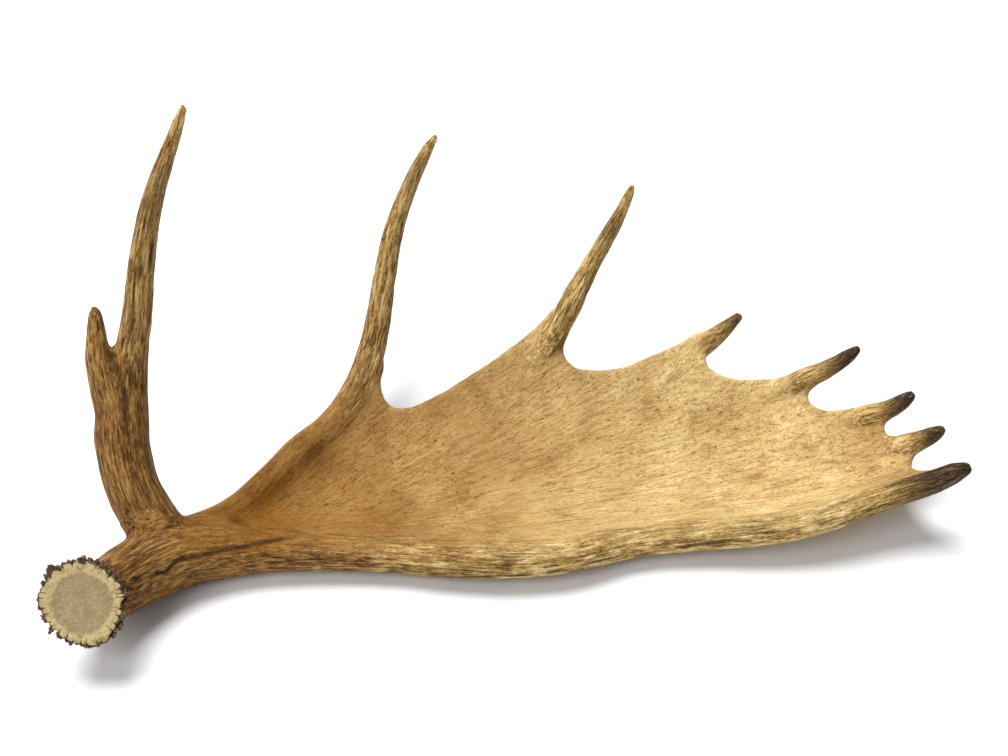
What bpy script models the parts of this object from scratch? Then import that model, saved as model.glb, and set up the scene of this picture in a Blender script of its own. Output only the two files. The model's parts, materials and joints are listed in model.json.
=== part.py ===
# A shed moose antler, lying on its convex side. Metres, +Z up, +X from the burr to the palm's far end.
# The origin is the middle of the antler's footprint, on the surface it rests on.
# Limbs are tapered curves, the palm is a bent plate, and one remesh grows them into a single body,
# which is then parted at its forks.
import math

import bmesh
import bpy
import numpy as np
from mathutils import Matrix, Vector

MM = 0.001
PALM_THICKNESS = 13.0  # mm, as are all the sizes up to the remesh
BURR_RADIUS = 36.0
BURR_THICKNESS = 15.0
BURR_FACING = (0.04, -0.766, 0.643)  # outward from the cast-off face
BURR_FACE_DEPTH = 1.0  # how much of the disc's own end is taken off, so the face is bare and flat
KNOB_COUNT = 19
KNOB_RADIUS = 5.6
FACET = 3.0 * MM  # grain of the remesh
SMOOTH_STEPS = 7
TRIANGLES = 7800
KERF = 0.3 * MM  # gap between two pieces at a fork
WORN_FLAT = 0.9 * MM  # depth that the resting face is worn back
PALM_PARTING = (-262, 54, 36)  # where the square cut between the beam and the palm stands
PALM_PARTING_TURN = 24  # degrees, so it crosses the beam and the palm's first rim alike
PALM_INSIDE = (50, 130, 6)  # a point in the palm's hollow

# Each limb's centre line with its radius: x, y, z, r. A tine's root has no z: it lies in the palm.
BEAM_AND_RIM = [
    (-364, -81, 69, 30), (-363, -66, 56, 28), (-354, -42, 43, 29.5), (-336, -15, 36, 31.5),
    (-314, 5, 32, 32), (-285, 16, 29, 29.5), (-244, 21, 26, 24), (-192, 21, 25, 19), (-117, 18, 23, 16.5),
    (-51, 9, 25, 16), (0, 5, 27, 15.5), (60, 11, 27, 14.5), (123, 33, 23, 14),
    (186, 38, 27, 13.5), (259, 39, 35, 13.5), (304, 45, 44, 13), (368, 64, 56, 12.5),
    (409, 72, 66, 11.5), (430, 77, 74, 9.8), (444, 80, 79, 5.4),
]
BROW_BRANCH = [
    (-312, 12, 36, 27), (-322, 22, 48, 27), (-334, 35, 62, 26), (-345, 47, 81, 25),
    (-354, 68, 105, 25), (-357, 84, 128, 24), (-358, 99, 150, 18),
]
BROW_TINE_SHORT = [
    (-361, 86, 137, 17), (-368, 100, 163, 14.6), (-373, 113, 185, 12), (-374, 126, 205, 9.2),
    (-375, 135, 216, 7.2), (-376, 141, 224, 4.6),
]
BROW_TINE_LONG = [
    (-352, 83, 120, 21.5), (-350, 99, 147, 19), (-344, 122, 186, 15.8), (-336, 138, 220, 14.2),
    (-331, 154, 253, 12.8), (-324, 171, 286, 11.4), (-314, 189, 317, 9.8), (-301, 210, 347, 7.8),
    (-292, 226, 367, 6), (-287, 236, 379, 4),
]
PALM_TINE_1 = [
    (-292, 28, 33, 24), (-264, 65, 30, 15.5), (-233, 103, 35, 15), (-207, 142, 40, 15),
    (-177, 179, 44, 14.5), (-156, 216, 52, 15), (-143, 252, 66, 15), (-136, 275, 83, 14.2),
    (-131, 295, 104, 13.4), (-125, 323, 134, 12), (-116, 348, 168, 10.8), (-101, 372, 202, 9.2),
    (-81, 396, 236, 6.9), (-70, 404, 251, 4),
]
PALM_TINE_2 = [
    (-6, 208, None, 6), (26, 252, None, 7), (50, 284, 67, 11), (68, 306, 94, 13.2),
    (90, 335, 125, 10.6), (114, 359, 160, 8.6), (129, 364, 194, 6.4), (135, 364, 215, 4),
]
PALM_TINE_3 = [
    (150, 232, None, 6), (190, 264, None, 7.5), (214, 284, 62, 11), (236, 295, 77, 9.2),
    (253, 301, 92, 5),
]
PALM_TINE_4 = [
    (240, 214, None, 6), (278, 226, None, 8), (309, 231, 58, 11), (339, 236, 72, 9.4), (359, 242, 84, 7.4),
    (369, 246, 91, 4.6),
]
PALM_TINE_5 = [
    (305, 168, None, 6), (345, 184, None, 8), (368, 182, 52, 11.5), (388, 178, 64, 10.4), (404, 180, 76, 8.4),
    (413, 182, 83, 5),
]
PALM_TINE_6 = [
    (335, 132, None, 6), (368, 142, None, 8), (396, 141, 48, 12), (414, 138, 60, 10.6), (426, 137, 70, 8.4),
    (433, 137, 77, 5),
]

# Plan of the palm: along the front edge from the main fork to the far end, then back along the rim.
PALM_PLAN = [
    (-292, 40), (-262, 66), (-230, 103), (-203, 141), (-175, 180), (-155, 217), (-143, 250),
    (-127, 252), (-128, 228), (-121, 214), (-110, 210),
    (-77, 222), (-46, 241), (-4, 271), (40, 309), (60, 323),
    (73, 308), (67, 290), (67, 275), (77, 265), (92, 262),
    (124, 264), (156, 274), (186, 282), (214, 291),
    (226, 284), (218, 274), (214, 265), (227, 252), (260, 243),
    (285, 239), (306, 240), (322, 240),
    (330, 230), (319, 222), (316, 216), (321, 208), (335, 200),
    (352, 195), (370, 189), (384, 181), (387, 172), (384, 165), (392, 154),
    (405, 146), (411, 136), (405, 124), (402, 114), (405, 104),
    (414, 93), (424, 80), (409, 72), (368, 65), (304, 45), (259, 39), (186, 38), (123, 33), (60, 12),
    (0, 6), (-51, 10), (-117, 19), (-192, 22), (-244, 23), (-286, 20),
]

# Sections across the palm at stations along x: y of its rim, hollow and front edge, then their heights.
TROUGH = [
    (-310, 18, 42, 56, 34, 30, 40),
    (-240, 26, 62, 92, 30, 20, 42),
    (-180, 28, 88, 174, 31, 8, 52),
    (-120, 23, 98, 236, 32, 6.5, 54),
    (-50, 10, 108, 246, 37, 6.5, 52),
    (50, 12, 125, 296, 38, 6.5, 66),
    (150, 36, 132, 276, 34, 6.5, 56),
    (250, 40, 137, 256, 44, 9, 56),
    (330, 54, 135, 236, 57, 20, 68),
    (400, 68, 122, 180, 74, 42, 78),
    (440, 77, 115, 140, 84, 62, 84),
]

# Where each piece parts from its neighbour: limb, span of its centre line, share of that span, cut radius.
FORKS = {
    "brow_tine_short": (BROW_TINE_SHORT, 2, 0.60, 16.0),
    "brow_tine_long": (BROW_TINE_LONG, 2, 0.45, 19.0),
    "palm_tine_1": (PALM_TINE_1, 7, 0.30, 22.0),
    "palm_tine_2": (PALM_TINE_2, 3, 0.10, 24.0),
    "palm_tine_3": (PALM_TINE_3, 2, 0.20, 20.0),
    "palm_tine_4": (PALM_TINE_4, 2, 0.40, 18.0),
    "palm_tine_5": (PALM_TINE_5, 3, 0.10, 16.0),
    "palm_tine_6": (PALM_TINE_6, 2, 0.80, 16.0),
    "palm_tine_7": (BEAM_AND_RIM, 17, 0.30, 24.0),
    "brow_branch": (BROW_BRANCH, 2, 0.35, 40.0),
}

# Colour and roughness of each piece's bone, from the dark base to the pale far end.
BONE = {
    "burr_and_beam": ((0.30, 0.17, 0.075), 0.62),
    "brow_branch": ((0.33, 0.19, 0.08), 0.60),
    "brow_tine_short": ((0.40, 0.25, 0.11), 0.50),
    "brow_tine_long": ((0.42, 0.27, 0.13), 0.50),
    "palm": ((0.50, 0.34, 0.17), 0.62),
    "palm_tine_1": ((0.44, 0.29, 0.14), 0.50),
    "palm_tine_2": ((0.45, 0.30, 0.15), 0.50),
    "palm_tine_3": ((0.47, 0.31, 0.16), 0.50),
    "palm_tine_4": ((0.34, 0.22, 0.12), 0.45),
    "palm_tine_5": ((0.26, 0.16, 0.09), 0.45),
    "palm_tine_6": ((0.24, 0.15, 0.08), 0.45),
    "palm_tine_7": ((0.26, 0.17, 0.10), 0.45),
}


def clear_scene():
    for ob in list(bpy.data.objects):
        bpy.data.objects.remove(ob, do_unlink=True)


def evaluated_mesh(ob):
    graph = bpy.context.evaluated_depsgraph_get()
    return bpy.data.meshes.new_from_object(ob.evaluated_get(graph), depsgraph=graph)


def solid_from(ob, name, weld=0.0):
    """A plain mesh object in place of ob, with its modifiers or its curve made real."""
    mesh = evaluated_mesh(ob)
    if weld:
        bm = bmesh.new()
        bm.from_mesh(mesh)
        bmesh.ops.remove_doubles(bm, verts=bm.verts, dist=weld)
        bmesh.ops.recalc_face_normals(bm, faces=bm.faces)
        bm.to_mesh(mesh)
        bm.free()
    solid = bpy.data.objects.new(name, mesh)
    solid.matrix_world = ob.matrix_world.copy()
    bpy.context.scene.collection.objects.link(solid)
    bpy.data.objects.remove(ob, do_unlink=True)
    return solid


def add_curve(name, curve):
    ob = bpy.data.objects.new(name, curve)
    bpy.context.scene.collection.objects.link(ob)
    return ob


def limb(name, centre_line):
    """A tapered round limb along its centre line, closed at both ends."""
    curve = bpy.data.curves.new(name, "CURVE")
    curve.dimensions = "3D"
    curve.bevel_depth = MM
    curve.bevel_resolution = 4
    curve.resolution_u = 6
    curve.use_fill_caps = True
    spline = curve.splines.new("BEZIER")
    spline.radius_interpolation = "CARDINAL"
    spline.bezier_points.add(len(centre_line) - 1)
    for point, (x, y, z, r) in zip(spline.bezier_points, centre_line):
        height = trough_height(x, y) if z is None else z
        point.co = Vector((x, y, height)) * MM
        point.radius = r
        point.handle_left_type = "AUTO"
        point.handle_right_type = "AUTO"
    return solid_from(add_curve(name, curve), name, weld=0.1 * MM)


def trough_height(x, y):
    """Height of the palm's middle surface: a hollow between its thick rear rim and its front edge."""
    stations = np.array(TROUGH)
    rim_y, hollow_y, edge_y, rim_z, hollow_z, edge_z = (
        np.interp(x, stations[:, 0], stations[:, column]) for column in range(1, 7)
    )
    front = y > hollow_y
    reach = np.where(front, (y - hollow_y) / (edge_y - hollow_y), (hollow_y - y) / (hollow_y - rim_y))
    rise = np.where(reach < 1, reach**2, 2 * reach - 1)
    return hollow_z + (np.where(front, edge_z, rim_z) - hollow_z) * rise


def palm_plate():
    """The palm as a flat round-edged plate in plan, bent to its trough."""
    edge = PALM_THICKNESS / 2
    curve = bpy.data.curves.new("palm_plan", "CURVE")
    curve.dimensions = "2D"
    curve.fill_mode = "BOTH"
    curve.extrude = edge * 0.35 * MM
    curve.bevel_depth = edge * 0.65 * MM
    curve.bevel_resolution = 2
    curve.offset = -edge * 0.65 * MM
    curve.resolution_u = 4
    spline = curve.splines.new("BEZIER")
    spline.use_cyclic_u = True
    spline.bezier_points.add(len(PALM_PLAN) - 1)
    for point, (x, y) in zip(spline.bezier_points, PALM_PLAN):
        point.co = Vector((x, y, 0)) * MM
        point.handle_left_type = "AUTO"
        point.handle_right_type = "AUTO"
    flat = solid_from(add_curve("palm_plan", curve), "palm_flat", weld=0.02 * MM)
    grain = flat.modifiers.new("Remesh", "REMESH")
    grain.mode = "VOXEL"
    grain.voxel_size = FACET
    plate = solid_from(flat, "palm_plate")
    places = np.array([v.co for v in plate.data.vertices])
    places[:, 2] += trough_height(places[:, 0] / MM, places[:, 1] / MM) * MM
    plate.data.vertices.foreach_set("co", places.ravel())
    return plate


def beam_start():
    """Middle of the burr and the way it faces."""
    return Vector(BEAM_AND_RIM[0][:3]) * MM, Vector(BURR_FACING).normalized()


def cylinder(name, radius, depth, centre, axis, segments=48):
    turn = axis.to_track_quat("Z", "Y")
    mesh = bpy.data.meshes.new(name)
    bm = bmesh.new()
    bmesh.ops.create_cone(
        bm, cap_ends=True, segments=segments, radius1=radius, radius2=radius, depth=depth
    )
    bm.to_mesh(mesh)
    bm.free()
    ob = bpy.data.objects.new(name, mesh)
    ob.rotation_mode = "QUATERNION"
    ob.rotation_quaternion = turn
    ob.location = centre
    bpy.context.scene.collection.objects.link(ob)
    return ob


def burr():
    """The burr's disc and the ring of bony knobs round it."""
    middle, out = beam_start()
    disc = cylinder("burr_disc", BURR_RADIUS * MM, BURR_THICKNESS * MM, middle, out)
    pieces = [disc]
    turn = out.to_track_quat("Z", "Y")
    for i in range(KNOB_COUNT):
        angle = 2 * math.pi * i / KNOB_COUNT
        swell = 1 + 0.22 * math.sin(5 * angle + 0.6) + 0.16 * math.sin(8 * angle)
        place = Vector((math.cos(angle), math.sin(angle), 0)) * BURR_RADIUS * MM
        place.z = 0.16 * BURR_THICKNESS * MM * math.sin(7 * angle)
        mesh = bpy.data.meshes.new("knob")
        bm = bmesh.new()
        bmesh.ops.create_uvsphere(bm, u_segments=12, v_segments=8, radius=KNOB_RADIUS * swell * MM)
        bm.to_mesh(mesh)
        bm.free()
        knob = bpy.data.objects.new("knob", mesh)
        knob.location = middle + turn @ place
        bpy.context.scene.collection.objects.link(knob)
        pieces.append(knob)
    return pieces


def join(pieces, name):
    """One object that holds every piece's mesh, in place."""
    bpy.context.view_layer.update()
    bm = bmesh.new()
    for ob in pieces:
        mesh = ob.data.copy()
        mesh.transform(ob.matrix_world)
        bm.from_mesh(mesh)
        bpy.data.meshes.remove(mesh)
        bpy.data.objects.remove(ob, do_unlink=True)
    mesh = bpy.data.meshes.new(name)
    bm.to_mesh(mesh)
    bm.free()
    whole = bpy.data.objects.new(name, mesh)
    bpy.context.scene.collection.objects.link(whole)
    return whole


def grown_together(pieces):
    """One closed body: the pieces remeshed as one, smoothed at their joins and thinned to large facets."""
    whole = join(pieces, "antler")
    grain = whole.modifiers.new("Remesh", "REMESH")
    grain.mode = "VOXEL"
    grain.voxel_size = FACET
    soften = whole.modifiers.new("Smooth", "SMOOTH")
    soften.factor = 0.5
    soften.iterations = SMOOTH_STEPS
    whole = solid_from(whole, "antler")
    thin = whole.modifiers.new("Decimate", "DECIMATE")
    thin.ratio = TRIANGLES / (2 * len(whole.data.polygons))
    thin.use_collapse_triangulate = True
    return solid_from(whole, "antler")


def box(name, low, high):
    low, high = Vector(low), Vector(high)
    mesh = bpy.data.meshes.new(name)
    bm = bmesh.new()
    bmesh.ops.create_cube(bm, size=1.0)
    for v in bm.verts:
        v.co = (low + high) / 2 + Vector(a * b for a, b in zip(v.co, high - low))
    bm.to_mesh(mesh)
    bm.free()
    ob = bpy.data.objects.new(name, mesh)
    bpy.context.scene.collection.objects.link(ob)
    return ob


def cut(body, cutter, cutters):
    """Takes the cutter away from the body."""
    bpy.context.scene.collection.objects.unlink(cutter)
    cutters.objects.link(cutter)
    cutter.hide_render = True
    cutter.display_type = "WIRE"
    taking = body.modifiers.new("Boolean", "BOOLEAN")
    taking.object = cutter
    taking.solver = "EXACT"
    return solid_from(body, body.name)


def fork_place(limb_points, span, share):
    """Where a cut stands on a limb's centre line, and the limb's direction there."""
    here, there = (Vector(limb_points[i][:3]) * MM for i in (span, span + 1))
    return here.lerp(there, share), (there - here).normalized()


def fork_cuts():
    """A thin disc across each limb at its fork, and a thin square across the beam where the palm starts."""
    discs = []
    for name, (points, span, share, radius) in FORKS.items():
        place, along = fork_place(points, span, share)
        discs.append(cylinder("cut_" + name, radius * MM, KERF, place, along, segments=24))
    square = box("cut_palm", (-KERF / 2, -0.075, -0.045), (KERF / 2, 0.060, 0.045))
    square.rotation_euler = (0, 0, math.radians(PALM_PARTING_TURN))
    square.location = Vector(PALM_PARTING) * MM
    return join(discs + [square], "fork_cuts")


def loose_parts(body):
    """The separate closed bodies of a mesh, each as its own mesh."""
    bm = bmesh.new()
    bm.from_mesh(body.data)
    bm.verts.ensure_lookup_table()
    seen, parts = set(), []
    for start in bm.verts:
        if start in seen:
            continue
        group, edge = {start}, [start]
        while edge:
            for link in edge.pop().link_edges:
                for v in link.verts:
                    if v not in group:
                        group.add(v)
                        edge.append(v)
        seen |= group
        parts.append(group)
    meshes = []
    for group in parts:
        ids = {v.index for v in group}
        single = bm.copy()
        single.verts.ensure_lookup_table()
        bmesh.ops.delete(single, geom=[v for v in single.verts if v.index not in ids], context="VERTS")
        mesh = bpy.data.meshes.new("piece")
        single.to_mesh(mesh)
        single.free()
        meshes.append(mesh)
    bm.free()
    return meshes


def seed_points():
    """A point inside each piece, tines first, by which the parted bodies get their names."""
    seeds = {}
    for name, (points, *_) in FORKS.items():
        inside = points[4] if name == "brow_branch" else points[-2]
        seeds[name] = Vector(inside[:3]) * MM
    seeds["burr_and_beam"] = Vector(BEAM_AND_RIM[1][:3]) * MM
    seeds["palm"] = Vector(PALM_INSIDE) * MM
    return seeds


def bone(name):
    colour, roughness = BONE[name]
    material = bpy.data.materials.new(name + "_bone")
    material.use_nodes = True
    shader = material.node_tree.nodes["Principled BSDF"]
    shader.inputs["Base Color"].default_value = (*colour, 1.0)
    shader.inputs["Roughness"].default_value = roughness
    shader.inputs["Metallic"].default_value = 0.0
    return material


def nearest(meshes, seed):
    """The mesh with the vertex that lies closest to a seed point."""
    return min(meshes, key=lambda mesh: min((v.co - seed).length for v in mesh.vertices))


def main():
    clear_scene()
    antler = bpy.data.collections.new("moose_antler")
    cutters = bpy.data.collections.new("cutters")
    bpy.context.scene.collection.children.link(antler)
    bpy.context.scene.collection.children.link(cutters)

    limbs = [limb("beam_and_rim", BEAM_AND_RIM), limb("brow_branch", BROW_BRANCH)]
    for name, (points, *_) in FORKS.items():
        if points not in (BEAM_AND_RIM, BROW_BRANCH):
            limbs.append(limb(name, points))
    body = grown_together(limbs + [palm_plate()] + burr())

    lowest = min(v.co.z for v in body.data.vertices)
    body = cut(body, box("floor", (-0.6, -0.3, -0.1), (0.6, 0.6, lowest + WORN_FLAT)), cutters)
    middle, out = beam_start()
    face = middle + out * (BURR_THICKNESS / 2 - BURR_FACE_DEPTH) * MM
    body = cut(body, cylinder("burr_face", 0.06, 0.04, face + out * 0.02, out), cutters)
    body = cut(body, fork_cuts(), cutters)

    pieces = loose_parts(body)
    bpy.data.objects.remove(body, do_unlink=True)
    corners = np.array([v.co for mesh in pieces for v in mesh.vertices])
    low, high = corners.min(0), corners.max(0)
    origin = Vector(((low[0] + high[0]) / 2, (low[1] + high[1]) / 2, low[2]))
    for name, seed in seed_points().items():
        mesh = nearest(pieces, seed)
        pieces.remove(mesh)
        mesh.transform(Matrix.Translation(-origin))
        mesh.materials.append(bone(name))
        mesh.name = name
        ob = bpy.data.objects.new(name, mesh)
        antler.objects.link(ob)
        mesh.shade_smooth()
        print(name, len(mesh.polygons))
    print("origin", *(round(c / MM, 2) for c in origin))


main()
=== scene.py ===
import bpy
import bmesh
import json
import math
import numpy as np
from mathutils import Matrix, Vector
from mathutils.bvhtree import BVHTree


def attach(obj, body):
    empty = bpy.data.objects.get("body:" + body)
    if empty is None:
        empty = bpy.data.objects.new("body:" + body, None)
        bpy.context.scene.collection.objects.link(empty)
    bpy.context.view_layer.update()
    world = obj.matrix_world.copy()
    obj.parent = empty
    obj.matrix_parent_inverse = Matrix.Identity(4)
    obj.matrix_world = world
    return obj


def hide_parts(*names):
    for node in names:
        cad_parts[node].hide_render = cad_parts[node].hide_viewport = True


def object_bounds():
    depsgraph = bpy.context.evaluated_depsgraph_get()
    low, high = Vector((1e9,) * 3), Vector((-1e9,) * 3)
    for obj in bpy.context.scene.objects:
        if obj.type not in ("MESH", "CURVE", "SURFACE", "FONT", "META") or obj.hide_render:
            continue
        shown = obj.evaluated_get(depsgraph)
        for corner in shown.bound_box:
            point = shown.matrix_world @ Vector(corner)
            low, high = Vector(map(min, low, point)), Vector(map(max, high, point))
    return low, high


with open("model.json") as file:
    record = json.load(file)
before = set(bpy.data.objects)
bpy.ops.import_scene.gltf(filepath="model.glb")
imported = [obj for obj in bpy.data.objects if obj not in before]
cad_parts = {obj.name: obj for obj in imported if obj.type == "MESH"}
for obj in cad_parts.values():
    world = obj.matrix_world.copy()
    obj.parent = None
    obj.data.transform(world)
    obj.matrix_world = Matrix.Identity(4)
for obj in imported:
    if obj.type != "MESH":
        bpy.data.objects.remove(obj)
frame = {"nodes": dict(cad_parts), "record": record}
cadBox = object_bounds()
mm = 0.001

# The antler is one grown bone. Its skin is made once, over the whole shape, and is then parted at the
# forks, so the grain runs on over every fork.
skin = {
    "voxel": 2.3,          # mm, first even mesh over the modelled solids
    "seamFill": 0.25,      # mm, closes the narrow gaps between the solids
    "weld": 0.01,          # mm
    "limbRounds": 14,      # takes the flat facets out and keeps the girth
    "limbStepBack": 0.56,
    "palmRounds": 90,
    "palmStepBack": 0.513,
    "palmGirth": (22, 46),   # mm, from a limb's smoothing to the palm's
    "softLines": [         # mm, where the palm runs out softly into its upper rim and the second tine
        [(-290, -115, 38), (-268, -92, 38), (-246, -61, 40), (-224, -30, 42), (-193, 8, 46), (-175, 32, 49)],
        [(-20, 76, 56), (5, 104, 60), (24, 130, 68)],
    ],
    "softReach": 34,       # mm
    "softRounds": 110,
    "softStrength": 0.6,
    "levels": 1,           # subdivisions of the even mesh
    "palmTriangles": 196000,
}

# Core lines of the limbs, in mm: x, y, z and the limb's radius there. ridge is the depth of the
# lengthwise furrows, tip the darkness of the worn end and tipRun its length. band is a stain below a clean
# point: its place from the point and its width. buried says from where to where a tine grows out of the
# palm's rim, and claim how strongly the palm gives way (less than 0) or doesn't, and over what run.
limbs = {
    "beam": {
        "points": [
            (-385, -229, 68, 30), (-384, -214, 55, 28), (-375, -190, 42, 30), (-357, -163, 35, 32),
            (-335, -143, 31, 32), (-306, -132, 28, 30), (-265, -127, 25, 24), (-213, -127, 24, 19),
            (-138, -130, 22, 17), (-72, -139, 24, 16), (-21, -143, 26, 16), (39, -137, 26, 15),
            (102, -115, 22, 14), (165, -110, 26, 14), (238, -109, 34, 14), (283, -103, 43, 13),
            (347, -84, 55, 13), (388, -76, 65, 12), (409, -71, 73, 10), (423, -68, 78, 5),
        ],
        "ridge": 0.8, "tip": 0.95, "tipRun": 135, "claim": (-0.9, 170, 60),
    },
    "browBranch": {
        "points": [
            (-333, -136, 35, 27), (-343, -126, 47, 27), (-355, -113, 61, 26), (-366, -101, 80, 25),
            (-375, -80, 104, 25), (-378, -64, 127, 24), (-379, -49, 149, 18),
        ],
        "ridge": 0.8, "tip": 0.0, "tipRun": 10,
    },
    "browTineShort": {
        "points": [
            (-382, -62, 136, 17), (-389, -48, 162, 15), (-394, -35, 184, 12), (-395, -22, 204, 9),
            (-396, -13, 215, 7), (-397, -7, 223, 5),
        ],
        "ridge": 0.6, "tip": 0.0, "tipRun": 22,
    },
    "browTineLong": {
        "points": [
            (-373, -65, 119, 22), (-371, -49, 146, 19), (-365, -26, 185, 16), (-357, -10, 219, 14),
            (-352, 6, 252, 13), (-345, 23, 285, 11), (-335, 41, 316, 10), (-322, 62, 346, 8),
            (-313, 78, 366, 6), (-308, 88, 378, 4),
        ],
        "ridge": 0.75, "tip": 0.46, "tipRun": 34, "band": (80, 55),
    },
    "palmTine1": {
        "points": [
            (-313, -120, 32, 24), (-285, -83, 29, 16), (-254, -45, 34, 15), (-228, -6, 39, 15),
            (-198, 31, 43, 15), (-177, 68, 51, 15), (-164, 104, 65, 15), (-157, 127, 82, 14),
            (-152, 147, 103, 13), (-146, 175, 133, 12), (-137, 200, 167, 11), (-122, 224, 201, 9),
            (-102, 248, 235, 7), (-91, 256, 250, 4),
        ],
        "ridge": 0.7, "tip": 0.42, "tipRun": 60, "band": (52, 34), "buried": (150, 250),
        "claim": (0.25, 150, 60),
    },
    "palmTine2": {
        "points": [
            (-16, 80, 56, 7), (5, 104, 58, 8), (29, 136, 66, 11), (47, 158, 93, 13), (69, 187, 124, 11),
            (93, 211, 159, 9), (108, 216, 193, 6), (114, 216, 214, 4),
        ],
        "ridge": 0.7, "tip": 0.42, "tipRun": 50, "band": (58, 40), "buried": (20, 85),
    },
    "palmTine3": {
        "points": [
            (150, 96, 46, 7), (172, 116, 51, 9), (193, 136, 61, 11), (215, 147, 76, 9), (232, 153, 91, 5),
        ],
        "ridge": 0.8, "tip": 0.62, "tipRun": 60, "buried": (20, 65),
    },
    "palmTine4": {
        "points": [
            (240, 62, 46, 7), (264, 72, 50, 9), (288, 83, 57, 11), (318, 88, 71, 9), (338, 94, 83, 7),
            (348, 98, 90, 5),
        ],
        "ridge": 0.8, "tip": 0.95, "tipRun": 80, "buried": (15, 60),
    },
    "palmTine5": {
        "points": [
            (308, 32, 42, 7), (328, 33, 46, 9), (347, 34, 51, 12), (367, 30, 63, 10), (383, 32, 75, 8),
            (392, 34, 82, 5),
        ],
        "ridge": 0.7, "tip": 0.95, "tipRun": 60, "buried": (10, 45),
    },
    "palmTine6": {
        "points": [
            (336, -8, 40, 8), (356, -7, 43, 10), (375, -7, 47, 12), (393, -10, 59, 11), (405, -11, 69, 8),
            (412, -11, 76, 5),
        ],
        "ridge": 0.7, "tip": 0.95, "tipRun": 52, "buried": (10, 45),
    },
}
limbNames = list(limbs)
ridgeGrowth = ((0, 25, 90, 170), (0.25, 0.45, 0.75, 1.0))   # mm from the point, share of the ridges' depth
grainApart = 300.0         # mm, keeps the patterns of two limbs apart

# The palm's grain fans out from the elbow, where the beam opens into it.
palm = {
    "elbow": (-300, -140, 30),
    "innerRadius": 190,    # mm, where the grain of the near part has its true width
    "outerRadius": 470,    # the same for the far part
    "changeOver": 300,     # mm from the elbow
    "changeWidth": 130,
    "limbReach": 1.45,     # the limbs' own grain ends at this many radii
}
grainBlend = 0.35          # the lead in claim at which one grain rules alone

parting = {   # mm
    "touch": 0.5,          # faces of two nodes nearer than this meet at a fork
    "halfGap": 0.15,       # half of the gap between them
    "depth": 3.0,          # how far each side of a fork's plane a face may change its node,
    "margin": 4.0,         # and how far past the fork's own edge
    "cut": 5.0,            # how far past that edge the plane still cuts
}

# Nodes that meet at a fork.
forks = [
    ("burr_and_beam", "palm"), ("burr_and_beam", "brow_branch"),
    ("brow_branch", "brow_tine_short"), ("brow_branch", "brow_tine_long"),
    ("palm", "palm_tine_1"), ("palm", "palm_tine_2"), ("palm", "palm_tine_3"), ("palm", "palm_tine_4"),
    ("palm", "palm_tine_5"), ("palm", "palm_tine_6"), ("palm", "palm_tine_7"),
]


def read(items, field, width=1, kind=np.float32):
    values = np.empty(len(items) * width, kind)
    items.foreach_get(field, values)
    return values.reshape(-1, width) if width > 1 else values


def meshArrays(mesh):
    return read(mesh.vertices, "co", 3).astype(float), read(mesh.edges, "vertices", 2, np.int32)


def faceArrays(mesh):
    # Each corner's vertex, and the corner count and face of each corner.
    sizes = read(mesh.polygons, "loop_total", 1, np.int32)
    return read(mesh.loops, "vertex_index", 1, np.int32), sizes, np.repeat(np.arange(len(sizes)), sizes)


def setPlaces(mesh, places):
    mesh.vertices.foreach_set("co", places.astype(np.float32).ravel())
    mesh.update()


def evaluated(piece):
    graph = bpy.context.evaluated_depsgraph_get()
    return bpy.data.meshes.new_from_object(piece.evaluated_get(graph))


def linked(name, data):
    piece = bpy.data.objects.new(name, data)
    bpy.context.scene.collection.objects.link(piece)
    return piece


def modified(name, mesh, kind, settings):
    piece = linked(name, mesh)
    change = piece.modifiers.new(kind.lower(), kind)
    for key, value in settings.items():
        setattr(change, key, value)
    result = evaluated(piece)
    bpy.data.objects.remove(piece)
    return result


def addAttribute(mesh, name, kind, domain, values):
    field = "vector" if kind == "FLOAT_VECTOR" else "value"
    layer = mesh.attributes.get(name) or mesh.attributes.new(name, kind, domain)
    layer.data.foreach_set(field, np.ascontiguousarray(values, np.float32).ravel())


def smoothStep(low, high, values):
    part = np.clip((values - low) / (high - low), 0, 1)
    return part * part * (3 - 2 * part)


# Seeded gradient noise, about -1 to 1.
noiseSource = np.random.RandomState(11)
noiseOrder = np.concatenate([noiseSource.permutation(256)] * 2)
noiseSlopes = noiseSource.normal(size=(256, 3))
noiseSlopes /= np.linalg.norm(noiseSlopes, axis=1)[:, None]


def noise(points, seed=0):
    points = points + seed * 17.37
    cell = np.floor(points)
    part = points - cell
    cell = cell.astype(np.int64) & 255
    ease = part ** 3 * (part * (part * 6 - 15) + 10)
    total = np.zeros(len(points))
    for x in (0, 1):
        for y in (0, 1):
            for z in (0, 1):
                slot = noiseOrder[(cell[:, 0] + x) & 255]
                slot = noiseOrder[(slot + cell[:, 1] + y) & 255]
                slot = noiseOrder[(slot + cell[:, 2] + z) & 255]
                slope = noiseSlopes[slot]
                reach = part - (x, y, z)
                share = np.ones(len(points))
                for axis, side in enumerate((x, y, z)):
                    share *= ease[:, axis] if side else 1 - ease[:, axis]
                total += share * (slope * reach).sum(1)
    return total * 1.6


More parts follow.
